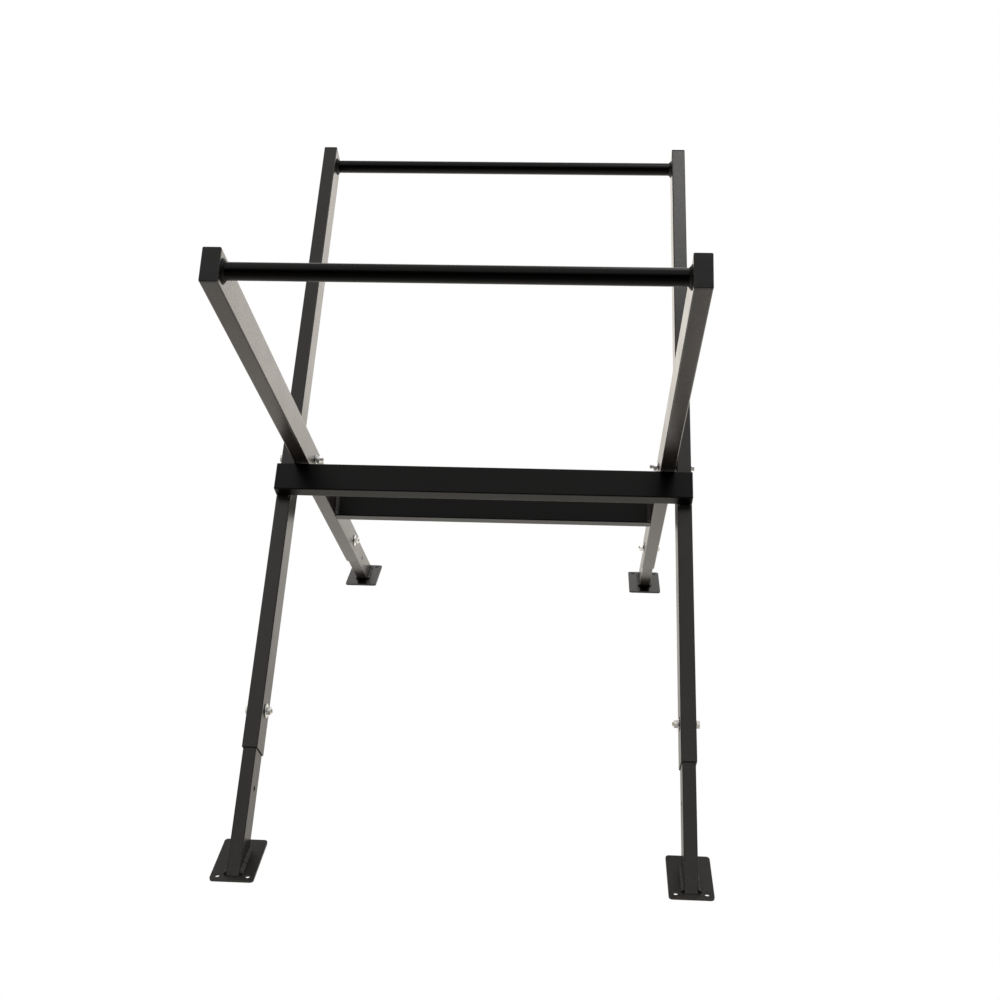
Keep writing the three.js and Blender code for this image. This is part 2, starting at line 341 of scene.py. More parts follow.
def thread_rows(start, end, radius):
    """Depths and radii of a threaded length: radius less a triangle wave of (depth / pitch + turn) that
    eases in, ending in a 45-degree point."""
    depth = np.arange(start, end, THREAD_STEP)
    turn = np.arange(ROUND) / ROUND
    wave = np.abs(2 * ((depth[:, None] / THREAD_PITCH + turn) % 1) - 1)
    ease = np.clip((depth - depth[0]) / (2 * THREAD_PITCH), 0, 1)[:, None]
    point = radius - np.clip(depth - (end - CHAMFER), 0, None)[:, None]
    return depth, np.minimum(radius - THREAD_DEPTH * ease * wave, point)


def bolt(low, high, side, sizes, thread):
    """A hexagon-head bolt from its head's outer face inwards: chamfered hexagon, collar, plain shank,
    screw thread and point. thread is how much of its end is cut."""
    length = high[0] - low[0]
    head, shank = sizes.bolt_head, sizes.bolt_radius
    chamfer = np.linspace(0, CHAMFER, 5)
    depths = [chamfer, [head - 0.3 * MM, head, head, length - thread - 0.1 * MM]]
    plain = [six_sided(sizes.flats), six_sided(sizes.flats) - 0.25 * MM,
             np.full(ROUND, shank), np.full(ROUND, shank)]
    radii = [chamfered(chamfer, sizes.flats), np.stack(plain)]
    if thread > 0:
        depth, screw = thread_rows(length - thread, length, shank)
        depths.append(depth)
        radii.append(screw)
    outer = high[0] if side > 0 else low[0]
    return spun(outer - side * np.concatenate(depths), np.concatenate(radii), axis_of(low, high))


def bolt_end(low, high, side, sizes):
    """The threaded end of a bolt on its own: a screw thread with a point, tip towards the middle."""
    depth, radii = thread_rows(0, high[0] - low[0], sizes.bolt_radius)
    outer = high[0] if side > 0 else low[0]
    return spun(outer - side * depth, radii, axis_of(low, high))


def nut(low, high, sizes):
    """A hexagon nut: its outer side chamfered at both faces, and a bore with countersunk mouths."""
    height, bore = high[0] - low[0], sizes.bolt_radius + 0.15 * MM
    chamfer = np.linspace(0, CHAMFER, 5)
    outside = chamfered(chamfer, sizes.flats)
    mouth, deep = 0.5 * MM, np.full((1, ROUND), bore)
    depth = np.concatenate([chamfer, height - chamfer[::-1], [height, height - mouth, mouth, 0]])
    radii = np.concatenate([outside, outside[::-1], deep + mouth, deep, deep, deep + mouth])
    return spun(low[0] + depth, radii, axis_of(low, high), closed=True)


def washer(low, high, bore, soften=0.35 * MM):
    """A flat ring with its outer edges rounded: a rectangle's section, softened, spun round its axis."""
    start, end, radius = low[0], high[0], (high[2] - low[2]) / 2
    quarter = np.linspace(0, math.pi / 2, 4)
    into, out = soften * (1 - np.cos(quarter)), soften * (1 - np.sin(quarter))
    along = np.concatenate([[start, start], start + into, end - into[::-1], [end, end]])
    rims = [[bore, radius - 3 * soften], radius - out, radius - out[::-1], [radius - 3 * soften, bore]]
    return spun(along, np.concatenate(rims), axis_of(low, high), closed=True)


def foot_plate(low, high, corner, hole_radius, hole_places):
    """A level plate with two screw holes.

    Each half is a fan round its hole: point = hole centre + hole_radius * direction at one end and the
    half's rounded outline at the other, with rings between at set shares. The halves share the seam
    down the middle, where equal points are merged.
    """
    centre, half = (low + high) / 2, (high - low) / 2
    shares = np.array([0, 0.25, 0.6, 0.97, 1])
    blocks, walls, count = [], [], 0
    for side, hole in zip((-1, 1), hole_places):
        steps_y = np.linspace(-1, 1, 27)[1:-1] * (half[1] - corner)
        steps_x = np.linspace(0, half[0] - corner, 8)
        quarter = np.linspace(0, math.pi / 2, 9)
        arc = corner * np.stack([np.cos(quarter), np.sin(quarter)], 1) + half[:2] - corner
        right = np.column_stack([np.full(len(steps_y), half[0]), steps_y])
        top = np.column_stack([steps_x[::-1][1:], np.full(len(steps_x) - 1, half[1])])
        seam = np.column_stack([np.zeros(len(steps_y)), steps_y[::-1]])
        ring = np.concatenate([right, arc, top, seam, top[::-1] * [1, -1], arc[::-1] * [1, -1]])
        ring = ring * [side, 1] + centre[:2]
        spoke = ring - hole
        circle = hole + hole_radius * spoke / np.linalg.norm(spoke, axis=1)[:, None]
        flat = circle + (ring - circle) * shares[:, None, None]
        layers = []
        for height in (high[2], low[2]):
            layers.append(np.concatenate([flat, np.full((*flat.shape[:2], 1), height)], -1))
        rows = np.concatenate([layers[0], layers[1][::-1]])
        index = count + np.arange(rows.shape[0] * rows.shape[1]).reshape(rows.shape[:2])
        below, far = np.roll(index, -1, 0), np.roll(index, -1, 1)
        quads = np.stack([index, far, np.roll(below, -1, 1), below], -1)
        on_seam = np.abs(ring[:, 0] - centre[0]) < 1e-7
        quads_kept = np.ones(quads.shape[:2], bool)
        quads_kept[len(shares) - 1, on_seam & np.roll(on_seam, -1)] = False
        blocks.append(rows.reshape(-1, 3))
        walls.append(quads[quads_kept])
        count += index.size
    points, back = np.unique(np.round(np.concatenate(blocks), 7), axis=0, return_inverse=True)
    faces = back.reshape(-1)[np.concatenate(walls)]
    inset = (half - np.abs(points - centre))[:, :2].min(1)
    return points, faces.tolist(), (inset < 0.6 * MM).astype(float)


def bead(path, first, second, sizes, phase, closed=False, flatness=1.6):
    """A fillet weld: a swollen corner section carried along a path.

    The section at each step is path + first * size * cos(t) ** flatness + second * size *
    sin(t) ** flatness for t from 0 to 90 degrees, and its root lies a little behind the path. The size
    swells once every ripple as |sin|, later in the middle of the section than at its toes, wanders
    slowly along the seam and, unless the seam is closed, shrinks to nothing at both ends.
    """
    steps = np.linalg.norm(np.diff(path, axis=0), axis=1)
    run = np.concatenate([[0], np.cumsum(steps)])
    turn = np.linspace(0, math.pi / 2, 9)
    ripples = max(1, round(run[-1] / RIPPLE))
    share = run / run[-1] * (1 - 1 / len(path) if closed else 1)
    swell = np.abs(np.sin(math.pi * (ripples * share[:, None] + 0.45 * np.sin(2 * turn))))
    wave = 2 * math.pi * np.array([2 * share + phase, 5 * share + 3 * phase])
    wander = np.sin(wave[0]) + 0.7 * np.sin(wave[1])
    size = 0.9 + 0.13 * swell + 0.06 * wander[:, None]
    if not closed:
        into = np.clip((WELD_TAPER - np.minimum(run, run[-1] - run)) / WELD_TAPER, 0, 1)
        size = size * np.sqrt(np.clip(1 - into ** 2, 0.02, 1))[:, None]
    arc = path[:, None]
    for way, reach, round_corner in zip((first, second), sizes, (np.cos(turn), np.sin(turn))):
        out = (reach * np.ones(len(path)))[:, None] * size * round_corner ** flatness
        arc = arc + way[:, None] * out[..., None]
    root = path - 0.35 * MM * (first + second)
    rings = np.concatenate([root[:, None], arc], 1)
    return loft(rings, None, closed)


def straight(start, end):
    """Evenly spaced points from start to end."""
    start, end = np.asarray(start, float), np.asarray(end, float)
    count = max(8, int(np.linalg.norm(end - start) / WELD_STEP))
    return start + (end - start) * np.linspace(0, 1, count)[:, None]


def along_path(path, direction):
    """The same direction at every point of a path."""
    return np.broadcast_to(np.asarray(direction, float), path.shape)


# ---- finishes ----


class Signal:
    """One output in a finish's node tree; sums and products on it add Math nodes."""

    def __init__(self, finish, socket):
        self.finish, self.socket = finish, socket

    def _math(self, operation, first, second):
        return self.finish.node("ShaderNodeMath", {"operation": operation}, {0: first, 1: second})

    def __add__(self, other):
        return self._math("ADD", self, other)

    def __radd__(self, other):
        return self._math("ADD", other, self)

    def __sub__(self, other):
        return self._math("SUBTRACT", self, other)

    def __rsub__(self, other):
        return self._math("SUBTRACT", other, self)

    def __mul__(self, other):
        return self._math("MULTIPLY", self, other)

    def __rmul__(self, other):
        return self._math("MULTIPLY", other, self)

    def over(self, level, softness):
        """0 below level, 1 above level + softness, straight between."""
        ends = {"From Min": level, "From Max": level + softness, "Value": self}
        return self.finish.node("ShaderNodeMapRange", {"clamp": True}, ends)


class Finish:
    """A tree of shader nodes under construction: a material's, or the world's."""

    def __init__(self, tree, output):
        self.tree = tree
        tree.nodes.clear()
        self.output = tree.nodes.new(output)

    def node(self, kind, settings=None, sockets=None, out=0):
        """Adds a node, sets its settings, then its sockets' values or links; returns one output."""
        made = self.tree.nodes.new(kind)
        for key, value in (settings or {}).items():
            setattr(made, key, value)
        for key, value in (sockets or {}).items():
            if isinstance(value, Signal):
                self.tree.links.new(value.socket, made.inputs[key])
            else:
                made.inputs[key].default_value = value
        return Signal(self, made.outputs[out])

    def noise(self, place, scale, detail=2.0, rough=0.5):
        """Soft noise, 0 to 1, with scale lumps to the metre."""
        sockets = {"Vector": place, "Scale": scale, "Detail": detail, "Roughness": rough}
        return self.node("ShaderNodeTexNoise", {}, sockets)

    def stretched(self, place, scale):
        """Places multiplied along each axis, for a drawn-out grain."""
        return self.node("ShaderNodeMapping", {}, {"Vector": place, "Scale": scale})

    def blend(self, factor, first, second):
        """A colour between first and second."""
        return self.node("ShaderNodeMix", {"data_type": "RGBA"}, {0: factor, 6: first, 7: second}, 2)

    def principled(self, **sockets):
        """A coat or metal on the surface; a socket's name has _ for its spaces."""
        named = {name.replace("_", " "): value for name, value in sockets.items()}
        self.surface(self.node("ShaderNodeBsdfPrincipled", {}, named))

    def surface(self, shader):
        """Joins a finished shader to the tree's output."""
        self.tree.links.new(shader.socket, self.output.inputs["Surface"])


def shade(colour, factor):
    """A colour made lighter or darker."""
    return [min(1.0, c * factor) for c in colour[:3]] + [1.0]


def new_finish(name):
    """A new material, its tree, and the place of each point on the piece itself."""
    material = bpy.data.materials.new(name)
    material.use_nodes = True
    finish = Finish(material.node_tree, "ShaderNodeOutputMaterial")
    return material, finish, finish.node("ShaderNodeTexCoord", out="Object")


def powder_coat(name, colour, roughness, peel_height, mirror):
    """Satin powder coat: orange peel and fine grain in the bump, cloudy gloss, pale pinholes, and
    corners where the coat is drawn thin and rubbed a little smoother and greyer."""
    material, finish, place = new_finish(name)
    peel = finish.noise(place, 620.0, 2.0, 0.45)
    grain = finish.noise(place, 2300.0, 2.0, 0.6)
    cloud = finish.noise(place, 14.0, 3.0, 0.55)
    rub = finish.noise(place, 160.0, 4.0, 0.65)
    edge = finish.node("ShaderNodeAttribute", {"attribute_name": "edge"}, out="Fac")
    worn = edge * rub.over(0.42, 0.3)
    pinholes = finish.noise(place, 1100.0, 1.0).over(0.74, 0.05)
    body = finish.blend(cloud.over(0.3, 0.4), shade(colour, 0.75), shade(colour, 1.25))
    thin = finish.blend(worn * 0.55, body, shade(colour, 3.2))
    dotted = finish.blend(pinholes * 0.5, thin, shade(colour, 4.0))
    gloss = roughness - 0.05 + 0.1 * cloud + 0.08 * grain - 0.07 * worn
    relief = 0.7 * peel + 0.3 * grain
    bump = finish.node("ShaderNodeBump", {}, {"Distance": peel_height, "Height": relief})
    finish.principled(Base_Color=dotted, Roughness=gloss, Normal=bump, IOR=1.5, Specular_IOR_Level=mirror)
    return material


def moulded_plastic(name, colour, roughness):
    """Moulded black plastic: a fine spark-eroded grain, soft blotches and shinier rubbed rims."""
    material, finish, place = new_finish(name)
    grain = finish.noise(place, 1500.0, 3.0, 0.6)
    blotch = finish.noise(place, 60.0, 2.0)
    edge = finish.node("ShaderNodeAttribute", {"attribute_name": "edge"}, out="Fac")
    worn = edge * finish.noise(place, 240.0, 3.0).over(0.35, 0.3)
    body = finish.blend(blotch.over(0.3, 0.4), shade(colour, 0.8), shade(colour, 1.2))
    rubbed = finish.blend(worn * 0.5, body, shade(colour, 2.4))
    gloss = roughness - 0.06 + 0.12 * grain - 0.1 * worn
    bump = finish.node("ShaderNodeBump", {}, {"Distance": 0.00008, "Height": grain})
    finish.principled(Base_Color=rubbed, Roughness=gloss, Normal=bump, IOR=1.47)
    return material


def zinc_plate(name, colour, roughness):
    """Bright zinc plate: a faint blue and straw cast that drifts, with fine drawn scratches, and the
    film that dulls it a little."""
    material, finish, place = new_finish(name)
    drift = finish.noise(place, 130.0, 3.0)
    scratch = finish.noise(finish.stretched(place, (300.0, 4000.0, 4000.0)), 1.0, 3.0, 0.6)
    straw = [colour[0] * 1.02, colour[1] * 0.97, colour[2] * 0.88, 1.0]
    cast = finish.blend(drift.over(0.4, 0.25), colour, straw)
    gloss = roughness - 0.06 + 0.14 * scratch + 0.08 * drift
    bump = finish.node("ShaderNodeBump", {}, {"Distance": 0.00003, "Height": scratch})
    finish.principled(Base_Color=cast, Metallic=0.8, Roughness=gloss, Normal=bump)
    return material


# ---- pieces ----


def add_piece(name, shape, body, material, nodes=(), bevel=0.0, crisp=None):
    """Makes a shape a mesh object on its body. bevel rounds its sharp edges; crisp is the angle in
    degrees past which an unbevelled edge is drawn sharp."""
    points, faces, edge = shape
    mesh = bpy.data.meshes.new(name)
    mesh.from_pydata(points.tolist(), [], faces)
    mesh.attributes.new("edge", "FLOAT", "POINT").data.foreach_set("value", edge.astype(np.float32))
    work = bmesh.new()
    work.from_mesh(mesh)
    bmesh.ops.recalc_face_normals(work, faces=work.faces)
    loose = sum(not e.is_manifold for e in work.edges)
    work.to_mesh(mesh)
    work.free()
    if loose:
        raise ValueError(f"{name} has {loose} open edges")
    mesh.shade_smooth()
    if crisp is not None:
        mesh.set_sharp_from_angle(angle=math.radians(crisp))
    mesh.materials.append(material)
    piece = bpy.data.objects.new(name, mesh)
    bpy.context.scene.collection.objects.link(piece)
    if bevel > 0:
        rounding = piece.modifiers.new("edges", "BEVEL")
        rounding.width, rounding.segments = bevel, 2
        rounding.limit_method, rounding.angle_limit = "ANGLE", math.radians(40)
        rounding.harden_normals = True
    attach(piece, body)
    if nodes:
        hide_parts(*nodes)
    return piece


def body_of(node):
    """The body that a frame node rides on."""
    return frame["nodes"][node]["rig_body"]


def stand_for(node, shape, material, bevel=0.0, crisp=None):
    """A fine piece in the place of one frame node."""
    add_piece(f"{node}_fine", shape, body_of(node), material, [node], bevel, crisp)


def finish_named(name):
    """A finish of this sawhorse, made the first time that a piece asks for it."""
    made = bpy.data.materials.get(name)
    if made is not None:
        return made
    look = bpy.context.scene.sawhorse_finish
    coats = {
        "satin black coat": (look.coat, look.coat_roughness, look.peel, look.coat_mirror),
        # Painted shade: the crossbeam, top bar and weld coats are the frame's one powder coat, given
        # darker colours for the shade on those parts.
        "crossbeam coat with painted shade": (look.beam, look.beam_roughness, look.peel, look.beam_mirror),
        "top bar coat with painted shade": (look.bar, look.bar_roughness, look.peel, look.bar_mirror),
        "weld coat with painted shade": (look.weld, look.weld_roughness, 2 * look.peel, look.bar_mirror),
    }
    if name in coats:
        return powder_coat(name, *coats[name])
    if name == "black end plug":
        return moulded_plastic(name, look.plastic, look.plastic_roughness)
    return zinc_plate(name, look.zinc, look.zinc_roughness)


# ---- settings ----


def in_mm(name, description, millimetres):
    """A length setting, its default given in millimetres."""
    return bpy.props.FloatProperty(name=name, description=description, default=millimetres * MM, min=0.0,
                                   subtype="DISTANCE", unit="LENGTH", precision=5)


def strength(name, description, default, most=1.0):
    """A setting from 0 to most."""
    return bpy.props.FloatProperty(name=name, description=description, default=default, min=0.0,
                                   max=most, subtype="FACTOR")


def tint(name, description, default):
    """A colour setting."""
    return bpy.props.FloatVectorProperty(name=name, description=description, default=(*default, 1.0),
                                         size=4, min=0.0, max=1.0, subtype="COLOR")


class SawhorseSizes(bpy.types.PropertyGroup):
    """Sizes that the frame's boxes don't give."""

    tube_wall: in_mm("Tube wall", "Wall of the frame tubes and crossbeams", 1.5)
    tube_corner: in_mm("Tube corner", "Outside corner radius of the frame tubes and crossbeams", 2.0)
    leg_corner: in_mm("Leg corner", "Outside corner radius of the sliding legs", 1.8)
    bar_wall: in_mm("Bar wall", "Wall of the round top bars", 2.0)
    bore: in_mm("Bolt hole", "Radius of the bolt holes", 4.5)
    rim: in_mm("Cut edge", "Rounding of sawn and drilled edges", 0.35)
    cap_head: in_mm("Plug head", "Thickness of a top plug's head", 3.5)
    beam_cap_head: in_mm("Beam plug head", "Thickness of a crossbeam plug's head", 3.0)
    cap_inset: in_mm("Plug spigot", "Step from a plug's head to its spigot", 1.9)
    cap_soften: in_mm("Plug rim", "Rounding of a plug's rim", 1.2)
    cap_crown: in_mm("Plug crown", "Rise of a plug's head in the middle", 0.35)
    plate_corner: in_mm("Plate corner", "Corner radius of the foot plates", 6.0)
    plate_hole: in_mm("Screw hole", "Radius of the foot plates' screw holes", 4.0)
    plate_hole_apart: in_mm("Screw holes apart", "Between the two screw holes of a foot plate", 48.0)
    plate_hole_inset: in_mm("Screw hole inset", "From a screw hole to the plate's outer end", 11.0)
    bolt_radius: in_mm("Bolt", "Radius of the bolts", 4.0)
    bolt_head: in_mm("Bolt head", "Height of the bolt heads", 5.3)
    flats: in_mm("Across flats", "Bolt heads and nuts, across their flats", 13.0)
    washer_bore: in_mm("Washer hole", "Radius of the washers' holes", 4.3)
    pivot_thread: in_mm("Pivot thread", "Threaded length of a pivot bolt", 28.0)
    foot_weld: in_mm("Foot weld", "Leg length of the welds on the foot plates", 5.0)
    beam_weld: in_mm("Crossbeam weld", "Leg length of the crossbeams' welds", 5.0)
    bar_weld: in_mm("Bar weld", "Leg length of the top bars' welds", 4.4)


class SawhorseFinish(bpy.types.PropertyGroup):
    """Colours and gloss."""

    coat: tint("Powder coat", "Colour of the powder coat", (0.0165, 0.0132, 0.0120))
    coat_roughness: strength("Powder coat roughness", "How satin the powder coat is", 0.26)
    coat_mirror: strength("Powder coat mirror", "How strongly the powder coat mirrors", 0.5)
    # Painted shade: the crossbeams carry the frame's one powder coat, given a darker colour here to stand
    # in for the darker light that falls on them.
    beam: tint("Crossbeam coat", "Colour of the coat on the crossbeams", (0.0012, 0.0009, 0.0007))
    beam_roughness: strength("Crossbeam coat roughness", "How satin the crossbeams' coat is", 0.26)
    beam_mirror: strength("Crossbeam mirror", "How strongly the crossbeams' coat mirrors", 0.19)
    # Painted shade: the top bars carry the frame's one powder coat, given a much darker colour here to
    # stand in for the dark that they mirror.
    bar: tint("Bar coat", "Colour of the coat on the top bars", (0.0008, 0.0007, 0.0007))
    bar_roughness: strength("Bar coat roughness", "How satin the top bars' coat is", 0.24)
    bar_mirror: strength("Bar coat mirror", "How strongly the top bars' coat mirrors", 0.2)
    # Painted shade: the welds under the front crossbeam and round the top bars carry the frame's one
    # powder coat, given a darker colour here for the shade there.
    weld: tint("Weld coat", "Colour of the coat over the welds", (0.0045, 0.0042, 0.0040))
    weld_roughness: strength("Weld coat roughness", "How satin the coat over the welds is", 0.28)
    peel: in_mm("Orange peel", "Height of the powder coat's orange peel", 0.05)
    plastic: tint("End plugs", "Colour of the plastic plugs", (0.024, 0.0235, 0.024))
    plastic_roughness: strength("End plug roughness", "How matt the plastic plugs are", 0.55)
    zinc: tint("Zinc", "Colour of the bolts, nuts and washers", (0.90, 0.92, 0.94))
    zinc_roughness: strength("Zinc roughness", "How bright the zinc is", 0.22)


class SawhorseStage(bpy.types.PropertyGroup):
    """Floor, light and camera."""

    sweep: tint("Sweep light", "Colour of the light that the floor throws", (1.0, 0.95, 0.87))
    sweep_near: strength("Sweep light in front", "Least brightness of the floor", 0.12, 4.0)
    sweep_middle: strength("Sweep light beneath", "Brightness of the floor under the object", 0.9, 4.0)
    sweep_slope: strength("Sweep light slope", "Gain in brightness for each metre back", 0.4, 4.0)
    sweep_far: strength("Sweep light behind", "Greatest brightness of the floor", 1.8, 4.0)
    backdrop: strength("Backdrop light", "Brightness of the backdrop low behind the object", 1.3, 4.0)
    walls: strength("Wall light", "Brightness of the walls of the studio", 0.12, 4.0)
    ceiling: strength("Ceiling light", "Brightness overhead", 0.8, 4.0)
    behind: strength("Light behind the camera", "Brightness behind the camera", 0.01, 4.0)
    lens: bpy.props.FloatProperty(name="Lens", description="Focal length on a 36 mm sensor", default=48.6,
                                  min=1.0, unit="CAMERA")
    eye: bpy.props.FloatVectorProperty(name="Camera place", description="Where the camera stands",
                                       default=(0.1690, -2.2979, 1.3250), subtype="XYZ", unit="LENGTH")
    look_down: bpy.props.FloatProperty(name="Look down", description="Camera's angle below level",
                                       default=math.radians(21.604), subtype="ANGLE", unit="ROTATION")
    look_left: bpy.props.FloatProperty(name="Look left", description="Camera's turn towards -X",
                                       default=math.radians(3.556), subtype="ANGLE", unit="ROTATION")


# ---- operators ----


def height_at(level, axes):
    """Gives the place along up, for a place along back, where a leaning frame meets a level plane."""
    return lambda back: (level - back * axes[1][2]) / axes[2][2]


class MakeFrameTubes(bpy.types.Operator):
    """Make the four long tubes of the two frames, drilled for the pivot and lock bolts"""

    bl_idname = "sawhorse.frame_tubes"
    bl_label = "Frame tubes"

    def execute(self, context):
        sizes = context.scene.sawhorse_sizes
        for place, kind, label, _ in CORNERS:
            node, axes = f"{kind}_tube_{label}", AXES[kind]
            bolts = (f"pivot_bolt_{label}", f"lock_bolt_{place}_{label}")
            holes = [middle(name, axes)[1:] for name in bolts]
            shape = drilled_tube(*extent(node, axes), sizes, sizes.tube_corner, holes)
            stand_for(node, placed(shape, axes), finish_named("satin black coat"), sizes.rim)
        return {"FINISHED"}


class MakeLegs(bpy.types.Operator):
    """Make the four sliding legs with their height holes, each cut level at the foot"""

    bl_idname = "sawhorse.legs"
    bl_label = "Sliding legs"

    def execute(self, context):
        sizes = context.scene.sawhorse_sizes
        for place, kind, label, _ in CORNERS:
            node, axes = f"leg_{place}_{label}", AXES[kind]
            back, up = middle(f"lock_bolt_{place}_{label}", axes)[1:]
            holes = [(back, up + step * HOLE_PITCH) for step in (-1, 0, 1)]
            foot = height_at(extent(node)[0][2], axes)
            shape = drilled_tube(*extent(node, axes), sizes, sizes.leg_corner, holes, foot)
            stand_for(node, placed(shape, axes), finish_named("satin black coat"), sizes.rim)
        return {"FINISHED"}


class MakeTopBars(bpy.types.Operator):
    """Make the two round top bars"""

    bl_idname = "sawhorse.top_bars"
    bl_label = "Top bars"

    def execute(self, context):
        sizes = context.scene.sawhorse_sizes
        for kind in AXES:
            node = f"{kind}_top_bar"
            shape = round_bar(*extent(node), sizes.bar_wall)
            # Painted shade: the top bars take the much darker copy of the powder coat.
            stand_for(node, shape, finish_named("top bar coat with painted shade"))
        return {"FINISHED"}


class MakeCrossbeams(bpy.types.Operator):
    """Make the front and rear crossbeams"""

    bl_idname = "sawhorse.crossbeams"
    bl_label = "Crossbeams"

    def execute(self, context):
        sizes = context.scene.sawhorse_sizes
        for place, kind in PLACES:
            node, axes = f"{place}_crossbeam", AXES[kind]
            shape = beam(*extent(node, axes), sizes.tube_wall, sizes.tube_corner)
            # Painted shade: the crossbeams take the darker copy of the powder coat.
            stand_for(node, placed(shape, axes), finish_named("crossbeam coat with painted shade"), sizes.rim)
        return {"FINISHED"}


class MakePlugs(bpy.types.Operator):
    """Make the plastic plugs in the tubes' upper ends and the front crossbeam's ends"""

    bl_idname = "sawhorse.plugs"
    bl_label = "End plugs"

    def execute(self, context):
        sizes = context.scene.sawhorse_sizes
        endways = np.roll(AXES["outer"], -1, axis=0)
        for label, side in SIDES:
            plugs = [(f"{kind}_top_cap_{label}", axes, sizes.cap_head, 1) for kind, axes in AXES.items()]
            plugs.append((f"front_crossbeam_cap_{label}", endways, sizes.beam_cap_head, side))
            for node, axes, head, turned_out in plugs:
                shape = plug(*extent(node, axes), sizes, head, turned_out)
                stand_for(node, placed(shape, axes), finish_named("black end plug"))
        return {"FINISHED"}


class MakeFootPlates(bpy.types.Operator):
    """Make the four level foot plates with two screw holes each"""

    bl_idname = "sawhorse.foot_plates"
    bl_label = "Foot plates"

    def execute(self, context):
        sizes = context.scene.sawhorse_sizes
        for place, _, label, _ in CORNERS:
            node = f"foot_plate_{place}_{label}"
            low, high = extent(node)
            inset, apart = sizes.plate_hole_inset, sizes.plate_hole_apart
            hole_y = low[1] + inset if place == "front" else high[1] - inset
            holes = [np.array([(low + high)[0] / 2 + way * apart / 2, hole_y]) for way in (-1, 1)]
            shape = foot_plate(low, high, sizes.plate_corner, sizes.plate_hole, holes)
            stand_for(node, shape, finish_named("satin black coat"), sizes.rim)
        return {"FINISHED"}


class MakePivotFasteners(bpy.types.Operator):
    """Make the two pivots: bolt, washers, spacer and nut"""

    bl_idname = "sawhorse.pivot_fasteners"
    bl_label = "Pivot bolts"

    def execute(self, context):
        sizes, zinc = context.scene.sawhorse_sizes, finish_named("bright zinc")
        for label, side in SIDES:
            node = f"pivot_bolt_{label}"
            shape = bolt(*extent(node), side, sizes, sizes.pivot_thread)
            stand_for(node, shape, zinc, crisp=35)
            for kind in ("outer_washer", "spacer", "inner_washer"):
                node = f"pivot_{kind}_{label}"
                stand_for(node, washer(*extent(node), sizes.washer_bore), zinc, crisp=50)
            node = f"pivot_nut_{label}"
            stand_for(node, nut(*extent(node), sizes), zinc, crisp=35)
        return {"FINISHED"}


class MakeLockFasteners(bpy.types.Operator):
    """Make the four leg locks: bolt head, washers, nut and threaded end"""

    bl_idname = "sawhorse.lock_fasteners"
    bl_label = "Lock bolts"

    def execute(self, context):
        sizes, zinc = context.scene.sawhorse_sizes, finish_named("bright zinc")
        for place, _, label, side in CORNERS:
            corner = f"{place}_{label}"
            node = f"lock_bolt_{corner}"
            stand_for(node, bolt(*extent(node), side, sizes, 0), zinc, crisp=35)
            for kind in ("outer_washer", "penny_washer"):
                node = f"lock_{kind}_{corner}"
                stand_for(node, washer(*extent(node), sizes.washer_bore), zinc, crisp=50)
            node = f"lock_nut_{corner}"
            stand_for(node, nut(*extent(node), sizes), zinc, crisp=35)
            node = f"lock_bolt_end_{corner}"
            stand_for(node, bolt_end(*extent(node), side, sizes), zinc, crisp=35)
        return {"FINISHED"}


class MakeFootWelds(bpy.types.Operator):
    """Make the welds along both sides of each leg, on its foot plate"""

    bl_idname = "sawhorse.foot_welds"
    bl_label = "Foot welds"

    def execute(self, context):
        sizes = context.scene.sawhorse_sizes
        for place, kind, label, side in CORNERS:
            leg, axes = f"leg_{place}_{label}", AXES[kind]
            low, high = extent(leg, axes)
            level = extent(f"foot_plate_{place}_{label}")[1][2]
            back = np.array([low[1] + sizes.leg_corner, high[1] - sizes.leg_corner])
            start, end = back * axes[1][1] + height_at(level, axes)(back) * axes[2][1]
            beads = []
            for turn, x in ((-1, low[0]), (1, high[0])):
                path = straight([x, start, level], [x, end, level])
                phase = 0.13 * turn + 0.21 * side + (0.4 if kind == "inner" else 0.0)
                out, up = along_path(path, [turn, 0, 0]), along_path(path, [0, 0, 1])
                beads.append(bead(path, out, up, (sizes.foot_weld, sizes.foot_weld), phase))
            add_piece(f"foot_weld_{place}_{label}", joined(beads), body_of(leg),
                      finish_named("satin black coat"))
        return {"FINISHED"}


